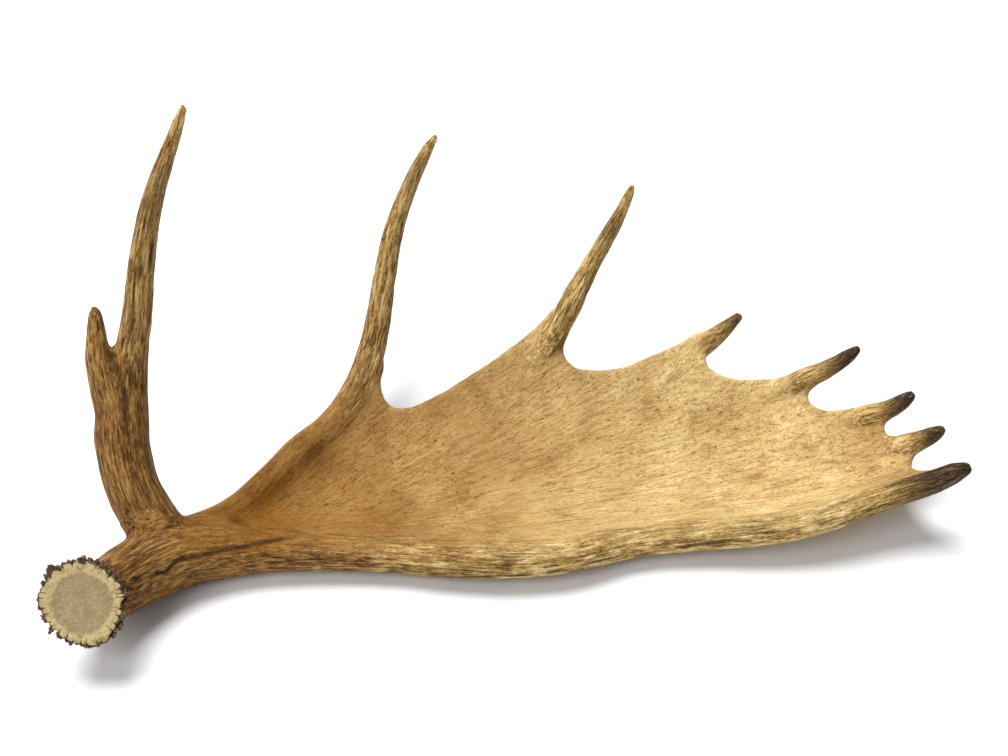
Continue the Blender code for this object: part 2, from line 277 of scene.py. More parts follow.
def coreLine(points, step=4.0):
    # A smooth line through the points, with a frame that doesn't twist.
    knots = np.array(points, float)
    ends = np.vstack([2 * knots[0] - knots[1], knots, 2 * knots[-1] - knots[-2]])
    line = []
    for k in range(len(knots) - 1):
        a, b, c, d = ends[k:k + 4]
        count = max(1, int(round(np.linalg.norm((c - b)[:3]) / step)))
        for t in np.arange(count) / count:
            line.append(0.5 * (2 * b + (c - a) * t + (2 * a - 5 * b + 4 * c - d) * t * t
                               + (3 * b - a - 3 * c + d) * t ** 3))
    line.append(knots[-1])
    line = np.array(line)
    centre, radius = line[:, :3], line[:, 3]
    along = np.gradient(centre, axis=0)
    along /= np.linalg.norm(along, axis=1)[:, None]
    run = np.concatenate([[0], np.cumsum(np.linalg.norm(np.diff(centre, axis=0), axis=1))])
    side = np.cross(along[0], (0, 0, 1.0))
    sides = []
    for direction in along:
        side = side - direction * side.dot(direction)
        side = side / np.linalg.norm(side)
        sides.append(side)
    sides = np.array(sides)
    return {"centre": centre, "radius": radius, "along": along, "run": run, "side": sides,
            "up": np.cross(along, sides)}


cores = {name: coreLine(limb["points"]) for name, limb in limbs.items()}


def alongLimb(core, points):
    # Distance along the limb, two offsets across it, distance over radius, and distance from the tip.
    centre, along = core["centre"], core["along"]
    nearest = np.empty(len(points), int)
    for start in range(0, len(points), 20000):
        block = points[start:start + 20000]
        gap = (block ** 2).sum(1)[:, None] - 2 * block @ centre.T + (centre ** 2).sum(1)[None]
        nearest[start:start + 20000] = gap.argmin(1)
    behind = ((points - centre[nearest]) * along[nearest]).sum(1) < 0
    first = np.clip(nearest - behind, 0, len(centre) - 2)
    past = ((points - centre[first]) * along[first]).sum(1)
    ahead = ((centre[first + 1] - points) * along[first + 1]).sum(1)
    total = past + ahead
    share = np.clip(past / np.where(np.abs(total) < 1e-6, 1e-6, total), 0, 1)
    share = np.where(total <= 0, 0.5, share)
    onLine = centre[first] + (centre[first + 1] - centre[first]) * share[:, None]
    run = core["run"][first] + (core["run"][first + 1] - core["run"][first]) * share
    run = run + np.where((first == len(centre) - 2) & (ahead < 0), -ahead, 0)
    run = run + np.where((first == 0) & (past < 0), past, 0)
    offset = points - onLine
    side, up, radius = ((core[name][first].T * (1 - share) + core[name][first + 1].T * share).T
                        for name in ("side", "up", "radius"))
    grain = np.stack([run, (offset * side).sum(1), (offset * up).sum(1)], 1)
    reach = np.linalg.norm(offset, axis=1) / radius
    return grain, reach, core["run"][-1] - run


def palmGrain(points, radius):
    away = points - palm["elbow"]
    turn = np.arctan2(away[:, 1], away[:, 0])
    return np.stack([np.hypot(away[:, 0], away[:, 1]), turn * radius, away[:, 2]], 1)


def grainOf(points):
    # Grain coordinates of every limb and of the palm's two parts, each with its claim: least wins.
    grains, claims = [], []
    tip = np.zeros(len(points))
    ridge = np.zeros(len(points))
    limbShare = np.zeros(len(points))
    for name, limb in limbs.items():
        grain, reach, toTip = alongLimb(cores[name], points)
        grains.append(grain + (0, 0, grainApart * limbNames.index(name)))
        claim = reach.copy()
        if "claim" in limb:
            amount, *span = limb["claim"]
            claim += amount * smoothStep(*span, grain[:, 0])
        claims.append(claim)
        held = smoothStep(1.62, 0.98, claim)
        if "buried" in limb:
            held *= 0.2 + 0.8 * smoothStep(*limb["buried"], grain[:, 0])
        limbShare = np.maximum(limbShare, held)
        dark = smoothStep(limb["tipRun"], 0, toTip)
        if "band" in limb:
            dark = np.exp(-((toTip - limb["band"][0]) / limb["band"][1]) ** 2)
        dark = limb["tip"] * dark * held
        tip = np.maximum(tip, dark)
        thick = np.interp(toTip, *ridgeGrowth)
        ridge = np.maximum(ridge, limb["ridge"] * held * thick)
    distance = np.hypot(points[:, 0] - palm["elbow"][0], points[:, 1] - palm["elbow"][1])
    change = (distance - palm["changeOver"]) / palm["changeWidth"]
    for radius, lead, apart in ((palm["innerRadius"], change, 3), (palm["outerRadius"], -change, 5)):
        grains.append(palmGrain(points, radius) + (0, 0, -grainApart * apart))
        claims.append(palm["limbReach"] + np.maximum(lead, 0))
    return {"grains": np.array(grains), "claims": np.array(claims), "tip": tip, "ridge": ridge,
            "limb": limbShare}


def twoNearest(claims):
    order = np.argpartition(claims, 1, axis=0)[:2]
    columns = np.arange(claims.shape[1])
    swap = claims[order[0], columns] > claims[order[1], columns]
    first = np.where(swap, order[1], order[0])
    second = np.where(swap, order[0], order[1])
    return first, second


def shareOfFirst(claimFirst, claimSecond):
    lead = np.clip((claimSecond - claimFirst) / grainBlend, -1, 1)
    return 0.5 + 0.5 * lead * (1.5 - 0.5 * lead * lead)


def flowAt(flow):
    columns = np.arange(flow["claims"].shape[1])
    first, second = twoNearest(flow["claims"])
    mix = shareOfFirst(flow["claims"][first, columns], flow["claims"][second, columns])
    return {"near": flow["grains"][first, columns], "next": flow["grains"][second, columns], "mix": mix}


def streaks(at, length, width, seed):
    scale = np.array((length, width, width), float)
    near = noise(at["near"] / scale, seed)
    further = noise(at["next"] / scale, seed)
    return at["mix"] * near + (1 - at["mix"]) * further


def cadTree():
    places, faces, owners = [], [], []
    for index, name in enumerate(sorted(frame["nodes"])):
        mesh = frame["nodes"][name].data
        start = len(places)
        places += [v.co[:] for v in mesh.vertices]
        for polygon in mesh.polygons:
            faces.append([start + v for v in polygon.vertices])
            owners.append(index)
    return BVHTree.FromPolygons(places, faces), owners


def forkPlane(nodeA, nodeB):
    # The flat faces of A that lie against B: their centre, their normal and how far they reach.
    meshB = frame["nodes"][nodeB].data
    tree = BVHTree.FromPolygons([v.co[:] for v in meshB.vertices],
                                [list(p.vertices) for p in meshB.polygons])
    meshA = frame["nodes"][nodeA].data
    centre, normal, area, corners = Vector(), Vector(), 0.0, []
    for polygon in meshA.polygons:
        place, facing, _, gap = tree.find_nearest(polygon.center)
        if gap < parting["touch"] * mm and facing.dot(polygon.normal) < -0.95:
            centre += polygon.center * polygon.area
            normal += polygon.normal * polygon.area
            area += polygon.area
            corners += [meshA.vertices[v].co.copy() for v in polygon.vertices]
    centre /= area
    normal.normalize()
    centre += normal * parting["halfGap"] * mm
    reach = max((corner - centre).length for corner in corners)
    return {"a": nodeA, "b": nodeB, "centre": centre, "normal": normal, "reach": reach}


def evenSkin():
    merged = bmesh.new()
    for node in frame["nodes"].values():
        solid = bmesh.new()
        solid.from_mesh(node.data)
        bmesh.ops.remove_doubles(solid, verts=solid.verts, dist=skin["weld"] * mm)
        solid.normal_update()
        for vertex in solid.verts:
            vertex.co += vertex.normal * skin["seamFill"] * mm
        copy = bpy.data.meshes.new("solid")
        solid.to_mesh(copy)
        merged.from_mesh(copy)
        bpy.data.meshes.remove(copy)
        solid.free()
    mesh = bpy.data.meshes.new("skin")
    merged.to_mesh(mesh)
    merged.free()
    return modified("skin", mesh, "REMESH", {"mode": "VOXEL", "voxel_size": skin["voxel"] * mm})


def smoothed(mesh, rounds, strength, stepBack=0.0):
    # Rounds of smoothing, each with a step back if one is given, so limbs don't get thinner.
    places, edges = meshArrays(mesh)
    count = len(places)
    degree = np.bincount(edges.ravel(), minlength=count)[:, None]
    for _ in range(rounds):
        for step in (0.5, -stepBack) if stepBack else (0.5,):   # half of the way to the neighbours' mean
            total = np.stack([
                np.bincount(edges[:, 0], places[edges[:, 1], axis], count)
                + np.bincount(edges[:, 1], places[edges[:, 0], axis], count)
                for axis in range(3)], 1)
            places = places + step * strength[:, None] * (total / degree - places)
    setPlaces(mesh, places)


burrMount = next(m for m in frame["record"]["mounts"] if m["name"] == "burr_face")
burr = {
    "centre": Vector(burrMount["pos_m"]),
    "facing": Vector(burrMount["axis"]).normalized(),
    # all in mm
    "depth": 17.0,
    "coreRadius": 24.4,
    "neckRadius": 29.0,    # the beam is drawn in to this inside the burr,
    "neckTaper": 2.0,      # to this much less at the face,
    "drawnIn": 60.0,       # within this of the burr's axis,
    "fade": 3.0,           # and comes free again over this
}
burr["right"] = burr["facing"].cross(Vector((0, 0, 1))).normalized()
burr["up"] = burr["facing"].cross(burr["right"]).normalized()


def drawIntoBurr(places):
    # The burr is a piece of its own shape, so the skin stays inside it.
    away = places - np.array(burr["centre"])
    depth = -(away @ np.array(burr["facing"])) / mm
    flat = away + np.outer(depth * mm, np.array(burr["facing"]))
    radius = np.linalg.norm(flat, axis=1) / mm
    fade = burr["fade"]
    near = (depth < burr["depth"] + fade) & (radius < burr["drawnIn"])
    limit = burr["neckRadius"] - burr["neckTaper"] * smoothStep(burr["depth"], 0, depth)
    factor = np.where(near & (radius > limit), limit / np.maximum(radius, 1e-6), 1.0)
    hold = smoothStep(burr["depth"] + fade, burr["depth"] - fade, depth)
    factor = 1 + (factor - 1) * np.where(near, hold, 0)
    sink = np.where(near & (depth < fade), fade - depth, 0)
    places = places + flat * (factor - 1)[:, None]
    return places - np.outer(sink * mm, np.array(burr["facing"]))


# Single furrows, in mm: their run on the surface, half width, depth, darkness and how broken they are.
furrows = [
    {   # crack on the beam, then the line between the round rim and the hollow
        "points": [(-341, -186, 50), (-333, -177, 49), (-327, -174, 45), (-323, -168, 48), (-316, -161, 49),
                   (-300, -154, 46), (-283, -147, 45), (-261, -140, 44), (-238, -133, 44), (-209, -125, 42)],
        "width": 3.6, "depth": 1.6, "dark": 0.95, "broken": 0.12,
    },
    {   # fold between the two brow tines
        "points": [(-383, -30, 196), (-381, -35, 193), (-378, -44, 184), (-372, -53, 173), (-368, -61, 161),
                   (-366, -73, 147), (-364, -82, 137), (-363, -91, 125)],
        "width": 5.0, "depth": 3.0, "dark": 0.9, "broken": 0.1,
    },
    {   # stained line inside the upper rim
        "points": [(-300, -106, 50), (-294, -99, 48), (-275, -73, 44), (-257, -47, 48), (-233, -11, 53),
                   (-211, 16, 55)],
        "width": 7.5, "depth": 0.4, "dark": 0.42, "broken": 0.3,
    },
    {   # pitted line low on the front rim
        "points": [(-135, -146, 24), (-122, -148, 23), (-90, -153, 22), (-52, -156, 19), (-15, -158, 23),
                   (22, -155, 24), (69, -141, 27)],
        "width": 3.4, "depth": 1.0, "dark": 0.95, "broken": 0.7,
    },
    {   # groove down the outside of the brow branch
        "points": [(-377, -128, 68), (-381, -119, 84), (-388, -102, 106), (-393, -86, 128)],
        "width": 3.2, "depth": 0.8, "dark": 0.5, "broken": 0.4,
    },
]
furrowCores = [coreLine([point + (furrow["width"],) for point in furrow["points"]]) for furrow in furrows]


def furrowDepths(points):
    # Depth in mm and darkness of the single furrows.
    depth = np.zeros(len(points))
    dark = np.zeros(len(points))
    wander = noise(points / 7.0, 12)
    for furrow, core in zip(furrows, furrowCores):
        low = core["centre"].min(0) - 15
        high = core["centre"].max(0) + 15
        near = ((points > low) & (points < high)).all(1)
        if not near.any():
            continue
        grain, reach, toTip = alongLimb(core, points[near])
        ends = smoothStep(-2, 12, grain[:, 0]) * smoothStep(-2, 26, toTip)
        gaps = 1 - furrow["broken"] * smoothStep(-0.25, 0.35, noise(grain / (13, 40, 40), 14))
        share = smoothStep(1.15, 0.1, reach + 0.3 * wander[near]) * ends * gaps
        depth[near] = np.maximum(depth[near], furrow["depth"] * share)
        dark[near] = np.maximum(dark[near], furrow["dark"] * share)
    return depth, dark


def calm(points, up):
    # The upper sides of the elbow and of the palm's rims are rubbed smoother than the limbs' other sides.
    x, z = points[:, 0], points[:, 2]
    here = smoothStep(78, 50, z) * smoothStep(-345, -300, x) * smoothStep(395, 330, x)
    here *= 1 - 0.5 * smoothStep(-230, -120, x)
    return here * smoothStep(0.45, 0.92, up)


# Streaks in the bone: length along the grain and width across it in mm, and the seed.
grainSizes = {
    "run": (85, 6.0, 3), "gate": (60, 11, 4), "fine": (32, 2.3, 5), "chip": (15, 3.2, 11),
    "swell": (170, 26, 6), "vein": (150, 12, 7), "dash": (17, 2.3, 8), "pit": (8, 3.2, 10),
}
# How far each stands proud, in mm, and how much darker it is painted there, on the ridged limbs and on the
# palm.
ridgeRise = {"run": 0.55, "fine": 0.42, "chip": 0.42, "furrow": -1.05, "dash": -0.9}
palmRise = {"fine": 0.11, "chip": 0.06, "vein": -0.25, "pit": -0.45}
ridgeDarkening = {"furrow": 0.95, "dash": 1.15, "fineLow": 0.3, "chipLow": 0.3}
palmDarkening = {"vein": 0.4, "pit": 0.75}


def relief(points, up):
    # How far the bone stands proud of its plain form, in mm, and how dark it is painted, 0 to 1: darker in its
    # furrows and pits, and painted shade on the palm's thin edge.
    flow = grainOf(points)
    at = flowAt(flow)
    limb = flow["limb"]
    ridge = flow["ridge"] * (1 - 0.6 * calm(points, up))
    broad = noise(points / 95.0, 1)
    patch = noise(points / 38.0, 2)
    marks = {name: streaks(at, *size) for name, size in grainSizes.items()}
    marks["furrow"] = smoothStep(0.20, 0.0, np.abs(marks["run"])) * smoothStep(-0.1, 0.35, marks["gate"])
    marks["vein"] = smoothStep(0.06, 0.0, np.abs(marks["vein"])) * smoothStep(-0.1, 0.5, patch)
    marks["dash"] = smoothStep(0.34, 0.6, marks["dash"]) * smoothStep(-0.2, 0.3, noise(points / 30.0, 9))
    marks["pit"] = smoothStep(0.60, 0.78, marks["pit"])
    for name in ("fine", "chip"):
        marks[name + "Low"] = np.clip(-marks[name] - 0.1, 0, 1)

    def weighed(shares):
        return sum(share * marks[name] for name, share in shares.items())

    lift = 0.5 * broad + 0.45 * marks["swell"] * (1 - limb) + 0.3 * patch * (0.4 + 0.6 * limb)
    lift += ridge * weighed(ridgeRise)
    lift += (1 - limb) * weighed(palmRise)
    depth, dark = furrowDepths(points)
    lift -= depth
    deep = ridge * weighed(ridgeDarkening)
    deep += (1 - limb) * weighed(palmDarkening)
    edge = np.clip(0.3 + 0.5 * marks["run"] + 0.4 * marks["fine"], 0, 0.8)   # painted shade on the palm's thin edge, where it turns sideways from the light above, broken up along the grain
    deep += (1 - limb) * smoothStep(0.6, 0.1, np.abs(up)) * edge
    return lift, np.clip(np.maximum(deep, dark), 0, 1), flow


print("skin: even mesh over the solids")
base = evenSkin()
tree, owners = cadTree()
nodeNames = sorted(frame["nodes"])
places, _ = meshArrays(base)
girth = np.full(len(places), 60.0)
for name in limbNames:
    _, reach, _ = alongLimb(cores[name], places / mm)
    girth = np.minimum(girth, np.maximum(reach, 0.2) ** 2 * 26)
smoothed(base, skin["limbRounds"], np.ones(len(places)), skin["limbStepBack"])
smoothed(base, skin["palmRounds"], smoothStep(*skin["palmGirth"], girth), skin["palmStepBack"])
places, _ = meshArrays(base)
for line in skin["softLines"]:
    _, gap, _ = alongLimb(coreLine([point + (skin["softReach"],) for point in line]), places / mm)
    smoothed(base, skin["softRounds"], skin["softStrength"] * smoothStep(1.0, 0.3, gap))
places, _ = meshArrays(base)
setPlaces(base, drawIntoBurr(places))
faceOwner = [owners[tree.find_nearest(p.center)[2]] for p in base.polygons]
layer = base.attributes.new("owner", "INT", "FACE")
layer.data.foreach_set("value", np.array(faceOwner, np.int32))
print("skin: even mesh has", len(base.polygons), "faces")

fine = modified("skinFine", base, "SUBSURF", {"levels": skin["levels"], "render_levels": skin["levels"]})
places, _ = meshArrays(fine)
print("skin: fine mesh has", len(fine.polygons), "faces")
normals = read(fine.vertex_normals, "vector", 3).astype(float)
lift, deep, flow = relief(places / mm, normals[:, 2])
places = places + normals * (lift * mm)[:, None]
places = np.clip(places, *np.array(cadBox))
setPlaces(fine, places)
addAttribute(fine, "deep", "FLOAT", "POINT", deep)
addAttribute(fine, "outward", "FLOAT_VECTOR", "POINT", read(fine.vertex_normals, "vector", 3))
print("skin: relief done")

planes = [forkPlane(*fork) for fork in forks]
for plane in planes:
    print("fork", plane["a"], plane["b"], [round(v, 4) for v in plane["centre"]], round(plane["reach"], 4))

fineLoops, fineSizes, _ = faceArrays(fine)
assert (fineSizes == 4).all()
fineQuads = fineLoops.reshape(-1, 4)
fineCentres = places[fineQuads].mean(1)
fineOwner = read(fine.attributes["owner"].data, "value", 1, np.int32)
for plane in planes:  # near a fork the plane decides
    away = fineCentres - np.array(plane["centre"])
    near = np.linalg.norm(away, axis=1) < plane["reach"] + parting["depth"] * mm
    a, b = nodeNames.index(plane["a"]), nodeNames.index(plane["b"])
    near &= (fineOwner == a) | (fineOwner == b)
    beyond = away @ np.array(plane["normal"]) > 0
    fineOwner[near] = np.where(beyond[near], b, a)
fineDeep = read(fine.attributes["deep"].data, "value")
fineOutward = read(fine.attributes["outward"].data, "vector", 3)


def partOfSkin(node):
    # The faces of one node, with a margin past each fork that is then cut off on the fork's plane.
    index = nodeNames.index(node)
    chosen = fineOwner == index
    cuts = []
    for plane in planes:
        if node not in (plane["a"], plane["b"]):
            continue
        outward = np.array(plane["normal"]) * (1 if node == plane["a"] else -1)
        away = fineCentres - np.array(plane["centre"])
        depth = away @ outward
        near = np.linalg.norm(away, axis=1) < plane["reach"] + parting["margin"] * mm
        near &= np.abs(depth) < parting["depth"] * mm
        other = nodeNames.index(plane["b"] if node == plane["a"] else plane["a"])
        chosen |= near & (fineOwner == other)
        cuts.append((plane, outward))
    quads = fineQuads[chosen]
    used, compact = np.unique(quads, return_inverse=True)
    mesh = bpy.data.meshes.new(node)
    mesh.vertices.add(len(used))
    mesh.vertices.foreach_set("co", places[used].astype(np.float32).ravel())
    mesh.loops.add(quads.size)
    mesh.loops.foreach_set("vertex_index", compact.reshape(-1).astype(np.int32))
    mesh.polygons.add(len(quads))
    mesh.polygons.foreach_set("loop_start", np.arange(0, quads.size, 4, dtype=np.int32))
    mesh.update(calc_edges=True)
    mesh.validate()
    addAttribute(mesh, "deep", "FLOAT", "POINT", fineDeep[used])
    addAttribute(mesh, "outward", "FLOAT_VECTOR", "POINT", fineOutward[used])
    solid = bmesh.new()
    solid.from_mesh(mesh)
    for plane, outward in cuts:
        limit = plane["reach"] + parting["cut"] * mm
        region = [v for v in solid.verts if (v.co - plane["centre"]).length < limit]
        inside = set(region)
        edges = [e for e in solid.edges if e.verts[0] in inside and e.verts[1] in inside]
        faces = {f for v in region for f in v.link_faces if all(w in inside for w in f.verts)}
        bmesh.ops.bisect_plane(solid, geom=region + edges + list(faces), dist=skin["weld"] * mm,
                               plane_co=plane["centre"], plane_no=Vector(outward), clear_outer=True)
    solid.to_mesh(mesh)
    solid.free()
    return mesh


def insideBox(mesh):
    # No point past the box of the solids.
    margin = 0.02 * mm
    places, _ = meshArrays(mesh)
    setPlaces(mesh, np.clip(places, np.array(cadBox[0]) + margin, np.array(cadBox[1]) - margin))


def thinned(mesh, triangles):
    count = sum(len(p.vertices) - 2 for p in mesh.polygons)
    if count <= triangles:
        return mesh
    return modified("thin", mesh, "DECIMATE", {"ratio": triangles / count})


def closed(mesh, node):
    # Caps the forks with flat faces, and marks the caps.
    solid = bmesh.new()
    solid.from_mesh(mesh)
    rims = [e for e in solid.edges if e.is_boundary]
    filled = bmesh.ops.holes_fill(solid, edges=rims, sides=0)["faces"]
    openEdges = [e for e in solid.edges if not e.is_manifold]
    print("  ", node, "caps", len(filled), "open edges", len(openEdges), "faces", len(solid.faces))
    for face in filled:
        face.material_index = 1
    bmesh.ops.triangulate(solid, faces=[f for f in solid.faces if len(f.verts) > 4])
    solid.to_mesh(mesh)
    solid.free()
    return mesh


def faceGrain(mesh):
    # Grain coordinates for the materials: on each face the two nearest flows and their mix.
    points, _ = meshArrays(mesh)
    flow = grainOf(points / mm)
    loops, sizes, faceOf = faceArrays(mesh)
    claims = np.stack([np.bincount(faceOf, row[loops], len(sizes)) / sizes for row in flow["claims"]])
    first, second = twoNearest(claims)
    first, second = first[faceOf], second[faceOf]
    mix = shareOfFirst(flow["claims"][first, loops], flow["claims"][second, loops])
    addAttribute(mesh, "grainNear", "FLOAT_VECTOR", "CORNER", flow["grains"][first, loops])
    addAttribute(mesh, "grainNext", "FLOAT_VECTOR", "CORNER", flow["grains"][second, loops])
    addAttribute(mesh, "grainMix", "FLOAT", "CORNER", mix)
    addAttribute(mesh, "tip", "FLOAT", "POINT", flow["tip"])
    up = read(mesh.attributes["outward"].data, "vector", 3).astype(float)[:, 2]
    limb = flow["limb"] * (1 - 0.78 * calm(points / mm, up))
    addAttribute(mesh, "limb", "FLOAT", "POINT", limb)


def keepNormals(mesh):
    # The skin's own normals over the whole antler, so that no fork shows as a line.
    outward = read(mesh.attributes["outward"].data, "vector", 3).astype(float)
    outward /= np.maximum(np.linalg.norm(outward, axis=1), 1e-9)[:, None]
    loops, sizes, faceOf = faceArrays(mesh)
    capped = read(mesh.polygons, "material_index", 1, np.int32) == 1
    flat = read(mesh.polygons, "normal", 3)
    normals = np.where(capped[faceOf][:, None], flat[faceOf], outward[loops])
    mesh.polygons.foreach_set("material_index", np.zeros(len(sizes), np.int32))
    mesh.shade_smooth()
    mesh.normals_split_custom_set(normals.astype(np.float32).tolist())
    mesh.attributes.remove(mesh.attributes["outward"])


def linear(colour):
    # sRGB hex to linear.
    parts = [int(colour[k:k + 2], 16) / 255 for k in (1, 3, 5)]
    return [p / 12.92 if p <= 0.04045 else ((p + 0.055) / 1.055) ** 2.4 for p in parts] + [1.0]


def addNode(tree, kind, inputs=None, out=0, stops=(), **settings):
    # A node with its settings, its inputs (sockets or fixed values) and its ramp's stops; gives one output.
    node = tree.nodes.new(kind)
    for key, value in settings.items():
        setattr(node, key, value)
    for socket, source in (inputs or {}).items():
        if isinstance(source, bpy.types.NodeSocket):
            tree.links.new(source, node.inputs[socket])
        else:
            node.inputs[socket].default_value = linear(source) if isinstance(source, str) else source
    for _ in stops[2:]:
        node.color_ramp.elements.new(0.5)
    for k, (place, tone) in enumerate(stops):
        node.color_ramp.elements[k].position = place
        node.color_ramp.elements[k].color = linear(tone) if isinstance(tone, str) else (tone, tone, tone, 1)
    return node.outputs[out] if len(node.outputs) else None


def summed(tree, total, *terms):
    # A start value and patterns added to it, each times its share, which may be a pattern too.
    for pattern, share in terms:
        total = addNode(tree, "ShaderNodeMath", {0: pattern, 1: share, 2: total}, operation="MULTIPLY_ADD")
    return total


def layered(tree, colour, *coats):
    # Coats laid over a colour: each one's share, its tone and how it blends.
    for share, tone, blend in coats:
        colour = addNode(tree, "ShaderNodeMix", {0: share, 6: colour, 7: tone}, 2,
                         data_type="RGBA", blend_type=blend)
    return colour


def grainNoise(tree, length, width, detail=2.0, roughness=0.55, shift=0.0):
    # Noise stretched along the grain; length and width in mm.
    shares = []
    for name in ("grainNear", "grainNext"):
        grain = addNode(tree, "ShaderNodeAttribute", out="Vector", attribute_name=name)
        scaled = addNode(tree, "ShaderNodeVectorMath", {
            0: grain, 1: (1 / length, 1 / width, 1 / width), 2: (shift, shift, shift),
        }, operation="MULTIPLY_ADD")
        shares.append(addNode(tree, "ShaderNodeTexNoise", {
            "Vector": scaled, "Scale": 1.0, "Detail": detail, "Roughness": roughness}, "Fac"))
    mix = addNode(tree, "ShaderNodeAttribute", out="Fac", attribute_name="grainMix")
    return addNode(tree, "ShaderNodeMix", {0: mix, 2: shares[1], 3: shares[0]}, data_type="FLOAT")


def boneMaterial(name, paint):
    # A material whose paint function gives the shader's inputs and the bump's.
    material = bpy.data.materials.new(name)
    material.use_nodes = True
    tree = material.node_tree
    tree.nodes.clear()
    shading, bump = paint(tree, addNode(tree, "ShaderNodeTexCoord", out="Object"))
    shading["Normal"] = addNode(tree, "ShaderNodeBump", bump)
    shader = addNode(tree, "ShaderNodeBsdfPrincipled", shading)
    addNode(tree, "ShaderNodeOutputMaterial", {"Surface": shader})
    return material


# Weathered antler bone: hard, close grain, stained brown by bark when it hardened, and rubbed pale on the
# ridges. Nearly matt, painted darker in the furrows and pits, with darker, smoother points.
bone = {
    "golden": "#a67429", "pale": "#f4da9a", "redStreak": "#98653a", "fleckDark": "#8a6536",
    "scratchDark": "#2f1b0a", "furrow": "#231306", "furrowShare": 0.85,
    "ior": 1.54, "specular": 0.14, "bumpStrength": 0.85,
    "bumpHeight": 0.9,     # mm
    "patch": 45.45,        # mm, the size of the stains
    "cloud": 200.0,        # mm, the size of the slow changes of tone
    # along and across the grain in mm, then detail, roughness and a shift that sets them apart
    "fleck": (4.2, 1.05, 4.0, 0.72), "chip": (17.0, 3.2, 3.0, 0.65, 5.3), "fibre": (48.0, 1.2, 2.0, 0.5, 3.7),
    "streak": (75.0, 5.0, 3.0, 0.6, 9.1), "scratch": (95.0, 7.0, 1.0, 0.5, 14.4),
    "lengthwise": 1.19,    # from metres to the palm's length
    "paleness": ((0.0, 0.0), (0.2, 0.06), (0.36, 0.28), (0.52, 0.51), (0.68, 0.84), (0.8, 0.95),
                 (0.9, 0.66), (1.0, 0.2)),   # of the palm, from the burr to the far tip
    "redShare": ((0.52, 0.0), (0.74, 0.5)),
    "patchTone": ((0.32, "#b8a07c"), (0.60, "#ffffff")),
    "fleckShare": ((0.37, 0.85), (0.47, 0.08), (1.0, 0.0)),
    "chipTone": ((0.36, "#c4ab86"), (0.52, "#f4efe6"), (0.66, "#ffffff")),
    "scratchLine": ((0.0, 1.0), (0.016, 0.0)),
    "scratchPlace": ((0.45, 0.0), (0.62, 0.55)),
    "limbNear": ((0.41, "#2a1809"), (0.465, "#65421d"), (0.52, "#8f632e"), (0.585, "#b08d4e")),
    "limbFar": ((0.41, "#2f1b0a"), (0.465, "#82612d"), (0.52, "#c29e59"), (0.585, "#efd9a0")),
    "points": ((0.42, "#150e08"), (0.49, "#342313"), (0.54, "#5b4425"), (0.62, "#a58556")),
    "limbShare": ((0.25, 0.0), (0.85, 0.9)),
    "tipShare": ((0.25, 0.0), (0.75, 1.0)),
    "tipReach": ((0.0, 0.0), (0.25, 1.0)),
    "gloss": ((0.38, 0.72), (0.62, 0.5)),
}


def paintBone(tree, place):
    x = addNode(tree, "ShaderNodeSeparateXYZ", {0: place}, "X")
    z = x.node.outputs["Z"]
    patch = addNode(tree, "ShaderNodeTexNoise", {
        "Vector": place, "Scale": 1 / (bone["patch"] * mm), "Detail": 4.0, "Roughness": 0.6}, "Fac")
    cloud = addNode(tree, "ShaderNodeTexNoise", {
        "Vector": place, "Scale": 1 / (bone["cloud"] * mm), "Detail": 2.0}, "Fac")
    fleck, chip, fibre, streak, scratch = (
        grainNoise(tree, *bone[name]) for name in ("fleck", "chip", "fibre", "streak", "scratch"))
    limb, deep, tip = (addNode(tree, "ShaderNodeAttribute", out="Fac", attribute_name=name)
                       for name in ("limb", "deep", "tip"))
    rough = summed(tree, 0.0, (patch, 0.12), (fibre, 0.26), (fleck, 0.26), (chip, 0.36))   # pits to ridges
    fromLine = addNode(tree, "ShaderNodeMath", {0: summed(tree, -0.5, (scratch, 1.0))}, operation="ABSOLUTE")
    patterns = {
        "paleness": summed(tree, 0.5, (x, bone["lengthwise"])), "redShare": streak, "patchTone": patch,
        "fleckShare": fleck, "chipTone": chip, "scratchLine": fromLine, "scratchPlace": patch,
        "limbNear": rough, "limbFar": rough, "points": rough, "gloss": rough, "tipReach": tip,
        "limbShare": summed(tree, -0.65, (chip, 1.3), (limb, 1.0)),    # ragged where a limb ends
        "tipShare": summed(tree, -0.8, (chip, 1.6), (tip, 1.0)),
    }
    tone = {name: addNode(tree, "ShaderNodeValToRGB", {0: pattern}, stops=bone[name])
            for name, pattern in patterns.items()}
    fade = summed(tree, -0.25, (cloud, 0.5), (tone["paleness"], 1.0))
    farther = summed(tree, 0.65, (z, 2.5), (x, 3.2), (cloud, 0.4))   # limbs are paler up and away from the burr
    tipShare = summed(tree, 0.0, (tone["tipShare"], tone["tipReach"]))
    colour = layered(
        tree, bone["golden"],
        # the palm: golden by the elbow, pale towards the far tines
        (fade, bone["pale"], "MIX"), (tone["redShare"], bone["redStreak"], "MIX"),
        (0.55, tone["patchTone"], "MULTIPLY"), (tone["fleckShare"], bone["fleckDark"], "MULTIPLY"),
        (0.6, tone["chipTone"], "MULTIPLY"),
        (summed(tree, 0.0, (tone["scratchLine"], tone["scratchPlace"])), bone["scratchDark"], "MIX"),
        # limbs and rims: rough bark-like bone, dark in the pits and pale on the ridges
        (tone["limbShare"], layered(tree, tone["limbNear"], (farther, tone["limbFar"], "MIX")), "MIX"),
        # worn points, the furrows painted darker, and painted shade on the palm's thin edge
        (tipShare, tone["points"], "MIX"),
        (summed(tree, 0.0, (deep, bone["furrowShare"])), bone["furrow"], "MIX"))
    return ({"Base Color": colour, "Roughness": summed(tree, tone["gloss"], (tipShare, -0.18)),
             "IOR": bone["ior"], "Specular IOR Level": bone["specular"]},
            {"Height": summed(tree, rough, (fleck, 0.9)), "Strength": bone["bumpStrength"],
             "Distance": bone["bumpHeight"] * mm})


